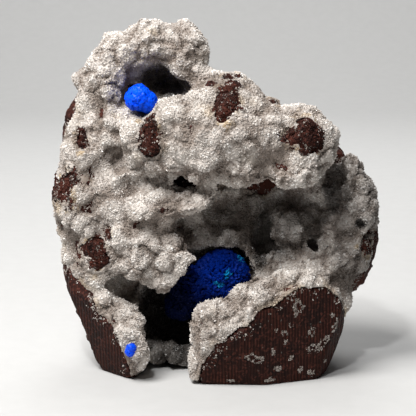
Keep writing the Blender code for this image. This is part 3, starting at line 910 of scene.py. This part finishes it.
class CAVANSITE_OT_basalt(Operator):
    """Makes the basalt: an even skin of its solid, chipped where it was broken and flat where it was sawn"""

    bl_idname = "cavansite.basalt"
    bl_label = "Make Basalt"

    def execute(self, context):
        settings = context.scene.cavansite_rock
        obj = fine_skin("basalt_matrix", settings.voxel, 0.0, 2)
        add_gap(obj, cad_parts["stilbite_crust"], "gap_druse")
        points, faces, fields = settled(obj)
        normals = point_normals(points, faces)
        sawn = sawn_share(points, normals)
        # Each chip tilts its own way: the distance from its centre along a hashed direction.
        _, away, own = nearest_cells(points, settings.chip_size, 5)
        tilt = unit(np.stack([np.cos(own * 40.0), np.sin(own * 40.0), np.cos(own * 91.0)], axis=1))
        chips = np.sum(away * tilt, axis=1)
        lift = settings.chip_height * chips + settings.grain_height * layered(points, 1.7 * MM, 3, 3)
        points = points + normals * (lift * (1.0 - sawn))[:, None]
        points[:, 2] = np.maximum(points[:, 2], 0.0)
        finish = basalt_material("basalt", settings, 1.0)
        rock = mesh_from("basalt", points, faces, finish, {"sawn": sawn}, flat=False)
        fitted(rock, "basalt", "basalt_matrix")
        self.lay_grains(settings, points, faces, sawn, fields["gap_druse"])
        return {"FINISHED"}

    def lay_grains(self, settings, points, faces, sawn, gap):
        """Brown grit on the bare patches, and pale grains in the table's flecks and at the druse's edge."""
        dice = np.random.default_rng(9)
        middle, area, facing = quads_of(points, faces)
        front = smooth(0.0, 0.3, -facing[:, 1])
        ragged = layered(middle, 1.1 * MM, 53, 2)
        flecks = np.zeros(len(faces))
        for *ellipse, ring in FLECKS:
            reach = leaned_reach(middle, *ellipse) + 0.75 * ragged
            share = (1.0 - smooth(0.65, 1.0, reach)) * (smooth(0.40, 0.70, reach) if ring else 1.0)
            flecks = np.maximum(flecks, share * front * (middle[:, 1] < -6.0 * MM))
        close = 1.0 - smooth(0.6 * MM, 3.2 * MM, gap[faces].mean(axis=1) - 1.2 * MM * ragged)
        bared = smooth(0.2 * MM, 0.4 * MM, gap[faces].mean(axis=1)) * (0.25 + 0.75 * front)
        edge = bared * close * smooth(-0.05, 0.25, ragged) * (1.0 - 0.6 * sawn[faces].mean(axis=1))
        above = middle[:, 2] > 0.8 * MM
        inside = bared * front * (1.0 - smooth(1.3, 1.6, patch_reach(middle)))
        lay_crumbs("rock_grit", dice, (points, faces, area * inside, facing), 5000, 0.50 * MM)
        finish = druse_material("rock grains", bpy.context.scene.cavansite_druse, 0.3, 0.2)
        # Name, share of each quad, number, length and how bright.
        for name, share, count, length, bright in (
            ("rock_flecks", flecks, 3200, 0.28 * MM, 0.12),
            ("druse_edge", edge, 11000, 0.46 * MM, 0.15),
        ):
            surface = (points, faces, area * share * above, facing)
            shape, _ = standing(dice, surface, count, 0.8, length, 0.3, (0.6, 1.1), 0.7)
            new_points, new_faces, corners = spindles(shape, sunk=0.62, shoulder=0.0)
            new_points[:, 2] = np.maximum(new_points[:, 2], 0.3 * MM)
            tint = np.clip(bright + 0.25 * dice.normal(size=count), 0.0, 1.0)
            # Random dirty grains take the crease colour and some darkening; the darker field also adds the
            # painted shade of the hollows.
            dirty = smooth(0.35, 1.0, dice.random(count))
            attributes = {
                "tint": np.repeat(tint, corners),
                "stain": np.zeros(len(new_points)),
                "crease": np.repeat(dirty, corners),
                "darker": np.maximum(np.repeat(0.75 * dirty, corners), painted_shade_share(new_points)),
            }
            fitted(mesh_from(name, new_points, new_faces, finish, attributes), "stilbite")


class CAVANSITE_OT_druse(Operator):
    """Makes the druse's skin, its small crystals in stretches, and the brown crumbs beside bare rock"""

    bl_idname = "cavansite.druse"
    bl_label = "Make Druse"

    def execute(self, context):
        settings = context.scene.cavansite_druse
        points, faces, gap, crease = druse_skin_arrays(settings)
        near = (1.0 - smooth(0.5 * MM, 2.2 * MM, gap)) * smooth(-0.1, 0.5, layered(points, 4.0 * MM, 91, 2))
        tint = np.clip(0.45 + 0.30 * layered(points, 2.2 * MM, 77, 3), 0.0, 1.0)
        fronted = smooth(0.0, 0.4, -point_normals(points, faces)[:, 1]) * (points[:, 1] < 10.0 * MM)
        reach = patch_reach(points)
        brown = fronted * (1.0 - smooth(0.68, 0.80, reach))
        ring = smooth(0.85, 0.95, reach) * (1.0 - smooth(1.15, 1.45, reach))
        near = np.maximum(near, 1.3 * ring * smooth(0.05, 0.35, layered(points, 3.0 * MM, 83, 2)))
        # Painted shade from the hollows' table, and the dark of the bare rock under the crumbs.
        darker = np.maximum(painted_shade_share(points), 0.93 * brown)
        fields = {"tint": tint, "stain": 0.55 * near, "crease": crease, "darker": darker}
        finish = druse_material("druse skin", settings, 0.42, 0.9)
        skin = mesh_from("druse_skin", points, faces, finish, fields, flat=False)
        fitted(skin, "stilbite", "stilbite_crust")
        self.grow_crystals(settings, points, faces, gap, fields, brown[faces].mean(axis=1))
        return {"FINISHED"}

    def grow_crystals(self, settings, points, faces, gap, fields, brown):
        """Scatters crystals over the quads by their area, and leans each a little off its normal.

        Each kind is parted into stretches from low to high, so that no mesh is too large.  The needles stand
        only on the upward side of the block's front edge.
        """
        dice = np.random.default_rng(4)
        middle, area, _ = quads_of(points, faces)
        facing = unit(point_normals(points, faces)[faces].mean(axis=1))
        open_share = smooth(0.25 * MM, 0.50 * MM, gap)[faces].mean(axis=1) * (middle[:, 2] > 1.3 * MM)
        seen = 0.35 + 0.65 * smooth(-0.45, 0.15, -facing[:, 1] + 0.5 * facing[:, 2])
        lay_crumbs("rock_crumbs", dice, (points, faces, area * brown, facing), 6000, 0.54 * MM)
        open_share = open_share * (1.0 - 0.94 * smooth(0.3, 0.8, brown))
        clear = druse_material("druse crystals", settings, 0.26, 0.2)
        bright = druse_material("druse sparkles", settings, 0.06, 0.0)
        block_front = (middle[:, 1] < -10 * MM) * (middle[:, 2] < 31 * MM) * (middle[:, 0] > -9 * MM)
        crest = block_front * smooth(0.1, 0.6, facing[:, 2])
        total = settings.crystals
        # Name, share of each quad, number, length, range of widths, lean, brightness and material.
        for name, share, count, length, slim, lean, tone, finish in (
            ("druse_crystals", 1.0, total, settings.crystal_length, (0.80, 1.10), 0.30, 0.54, clear),
            ("druse_sparkles", 1.0, total // 13, 0.72 * MM, (0.50, 0.9), 0.9, 0.95, bright),
            ("druse_needles", crest, total // 120, 1.3 * MM, (0.12, 0.18), 0.5, 0.8, clear),
        ):
            surface = (points, faces, area * open_share * seen * share, facing)
            shape, pick = standing(dice, surface, count, lean, length, 0.25, slim, (0.55, 1.0))
            roots = shape[0]
            mottle = 0.17 * dice.normal(size=count) + 0.25 * layered(roots, 3.0 * MM, 77, 2)
            tint = np.clip(tone + mottle, 0.0, 1.0)
            stretches = math.ceil(count * SPINDLE_TRIANGLES / MOST_TRIANGLES)
            for number, part in enumerate(np.array_split(np.argsort(roots[:, 2]), stretches), start=1):
                stretch = [values[part] for values in shape]
                new_points, new_faces, corners = spindles(stretch, sunk=0.50, shoulder=0.12)
                new_points[:, 2] = np.maximum(new_points[:, 2], 0.3 * MM)
                attributes = {"tint": np.repeat(tint[part], corners)}
                # Each crystal takes its root's stain, its painted shade in creases and hollows, and the dark
                # under the crumbs.
                for key in ("stain", "crease", "darker"):
                    attributes[key] = np.repeat(fields[key][faces[pick[part], 0]], corners)
                crystals = mesh_from(f"{name}_{number}", new_points, new_faces, finish, attributes)
                fitted(crystals, "stilbite")


def rosette_arrays(dice, centre, reach, count):
    """Crystals that radiate from a centre along evenly spread ways, with a reach that swells and dips.

    The ways are a golden spiral over a ball.  The reach is 0.87 to 1 of the rosette's, by domes over the
    ball, and each crystal is wider than its share of the ball, so that they close over the heart.
    """
    turn = np.arange(count) * math.pi * (3.0 - math.sqrt(5.0))
    height = 1.0 - 2.0 * (np.arange(count) + 0.5) / count
    ring = np.sqrt(1.0 - height**2)
    ways = np.stack([ring * np.cos(turn), ring * np.sin(turn), height], axis=1)
    ways = unit(ways + dice.normal(0.0, 0.06, (count, 3)))
    swell = domes(ways + centre * 100.0, 0.75, 3)
    reaches = reach * (0.87 + 0.13 * swell) * dice.uniform(0.985 if count > 300 else 0.95, 1.0, count)
    start = 0.30 * reach
    spacing = reach * math.sqrt(4.0 * math.pi / count)
    wides = spacing * dice.uniform(1.3, 2.3, count)
    thicks = wides * dice.uniform(0.55, 0.9, count)
    rolls = dice.uniform(0.0, 2.0 * math.pi, count)
    lengths = reaches - start
    points, faces, corners = blades((centre + ways * start, ways, rolls, lengths, wides, thicks))
    tip = np.linalg.norm(points - centre, axis=1) / reach
    return points, faces, tip, corners


class CAVANSITE_OT_sprays(Operator):
    """Makes the three sprays of cavansite, each one mesh of radiating crystals"""

    bl_idname = "cavansite.sprays"
    bl_label = "Make Cavansite Sprays"

    def execute(self, context):
        settings = context.scene.cavansite_spray
        # How deep each spray's blue is, for the middle spray partly its own colour and partly painted shade,
        # its specular level and its lowest roughness.
        finishes = {
            "cavansite_spray_middle": (0.24, 0.08, 0.42),
            "cavansite_spray_upper": (1.0, 0.14, 0.24),
            "cavansite_spray_lower": (0.9, 0.22, 0.24),
        }
        for seed, (name, rosettes) in enumerate(ROSETTES.items()):
            dice = np.random.default_rng(100 + seed)
            shapes, first, tints = [], 0, []
            for x, y, z, reach, count in rosettes:
                centre = np.array((x, y, z)) * MM
                points, faces, tip, corners = rosette_arrays(dice, centre, reach * MM, count)
                highlight = np.zeros(count)
                ends = points.reshape(count, corners, 3)[:, -1] / MM
                for at_x, at_z, radius in TURQUOISE_HIGHLIGHTS:
                    away = np.hypot(ends[:, 0] - at_x, ends[:, 2] - at_z) / radius
                    highlight = np.maximum(highlight, (1.0 - smooth(0.6, 1.1, away)) * (dice.random(count) < 0.6))
                tints.append(np.repeat(highlight, corners))
                shapes.append((points, faces + first, tip))
                first += len(points)
            points, faces, tip = (np.concatenate(part) for part in zip(*shapes))
            # Painted shade on the sprays from the hollows' table.
            darker = 0.6 * painted_shade_share(points)
            if name == "cavansite_spray_middle":
                # The photo's spray is bright at its upper right and fades to black down to the left.
                # Painted shade: the middle spray darkens towards black away from its brightest place.
                away = np.hypot(points[:, 0] / MM - SPRAY_LIGHT[0], points[:, 2] / MM - SPRAY_LIGHT[1])
                darker = np.maximum(darker, 0.9 * smooth(*SPRAY_FADE, away))
            fields = {"tip": tip, "tint": np.concatenate(tints), "darker": darker}
            short = name.removeprefix("cavansite_spray_")
            finish = cavansite_material(f"cavansite {short}", settings, *finishes[name])
            spray = mesh_from(f"cavansite_{short}", points, faces, finish, fields)
            fitted(spray, "cavansite", name)
        return {"FINISHED"}


class CAVANSITE_OT_stage(Operator):
    """Makes the pale floor that curves up behind the piece, the soft lights and the camera"""

    bl_idname = "cavansite.stage"
    bl_label = "Make Stage"

    def execute(self, context):
        settings = context.scene.cavansite_stage
        scene = context.scene
        self.make_floor(settings)
        aim = Vector(AIM) * MM
        back = Vector((0.0, -math.cos(settings.elevation), math.sin(settings.elevation)))
        camera = bpy.data.objects.new("camera", bpy.data.cameras.new("camera"))
        scene.collection.objects.link(camera)
        sensor = 36.0
        camera.data.sensor_width = sensor
        camera.data.lens = sensor * settings.distance / settings.view_width
        camera.data.clip_start = 0.01
        camera.location = aim + back * settings.distance
        camera.rotation_euler = (-back).to_track_quat("-Z", "Y").to_euler()
        scene.camera = camera
        for name, (place, target, size, power, tone) in LIGHTS.items():
            light = bpy.data.objects.new(name, bpy.data.lights.new(name, "AREA"))
            scene.collection.objects.link(light)
            light.data.size = size
            light.data.energy = power
            light.data.color = tone
            light.location = place
            light.rotation_euler = (Vector(target) - light.location).to_track_quat("-Z", "Y").to_euler()
        world = bpy.data.worlds.new("studio")
        scene.world = world
        world.use_nodes = True
        world.node_tree.nodes["Background"].inputs["Color"].default_value = (1.0, 0.98, 0.96, 1.0)
        world.node_tree.nodes["Background"].inputs["Strength"].default_value = 0.055
        scene.view_settings.view_transform = "Standard"
        return {"FINISHED"}

    def make_floor(self, settings):
        """A profile in Y and Z carried along X: flat from the front, a quarter circle, then straight up."""
        # In metres: the front edge, where the curve starts and its radius, the top edge, and half the width.
        front, bend, radius, top, half_width = -0.9, 0.55, 0.35, 1.2, 1.4
        flat = np.linspace(front, bend, 12)
        arc = np.linspace(0.0, math.pi / 2, 24)[1:]
        y = np.concatenate([flat, bend + radius * np.sin(arc), [bend + radius]])
        z = np.concatenate([np.zeros(len(flat)), radius * (1.0 - np.cos(arc)), [top]])
        x = np.linspace(-half_width, half_width, 15)
        places = (np.repeat(x, len(y)), np.tile(y, len(x)), np.tile(z, len(x)))
        points = np.stack(places, axis=1)
        i, j = np.meshgrid(np.arange(len(x) - 1), np.arange(len(y) - 1), indexing="ij")
        first = (i * len(y) + j).ravel()
        faces = np.stack([first, first + len(y), first + len(y) + 1, first + 1], axis=1)
        made, tree, shader = material("floor")
        out = grain(tree, 300.0, 0.0)
        shade = tuple(0.97 * c for c in settings.floor_colour)
        tone = mixed(tree, ramp(tree, out["Mottle"], 0.3, 0.7), shade, settings.floor_colour)
        tree.links.new(tone, shader.inputs["Base Color"])
        shader.inputs["Roughness"].default_value = 0.75
        floor = mesh_from("floor", points, faces, made, flat=False)


class CAVANSITE_PT_panel(Panel):
    """Lists the steps in the sidebar."""

    bl_idname = "CAVANSITE_PT_panel"
    bl_label = "Cavansite Cluster"
    bl_space_type = "VIEW_3D"
    bl_region_type = "UI"
    bl_category = "Cavansite"

    def draw(self, context):
        for operator in OPERATORS:
            self.layout.operator(operator.bl_idname)


OPERATORS = (CAVANSITE_OT_stage, CAVANSITE_OT_basalt, CAVANSITE_OT_druse, CAVANSITE_OT_sprays)
SETTINGS = {
    "cavansite_rock": RockSettings,
    "cavansite_druse": DruseSettings,
    "cavansite_spray": SpraySettings,
    "cavansite_stage": StageSettings,
}


def register():
    for cls in (*SETTINGS.values(), *OPERATORS, CAVANSITE_PT_panel):
        bpy.utils.register_class(cls)
    for name, cls in SETTINGS.items():
        setattr(bpy.types.Scene, name, PointerProperty(type=cls))


def unregister():
    for name in SETTINGS:
        delattr(bpy.types.Scene, name)
    for cls in reversed((*SETTINGS.values(), *OPERATORS, CAVANSITE_PT_panel)):
        bpy.utils.unregister_class(cls)


def main():
    register()
    bpy.ops.cavansite.stage()
    bpy.ops.cavansite.basalt()
    bpy.ops.cavansite.druse()
    bpy.ops.cavansite.sprays()


if __name__ == "__main__":
    main()
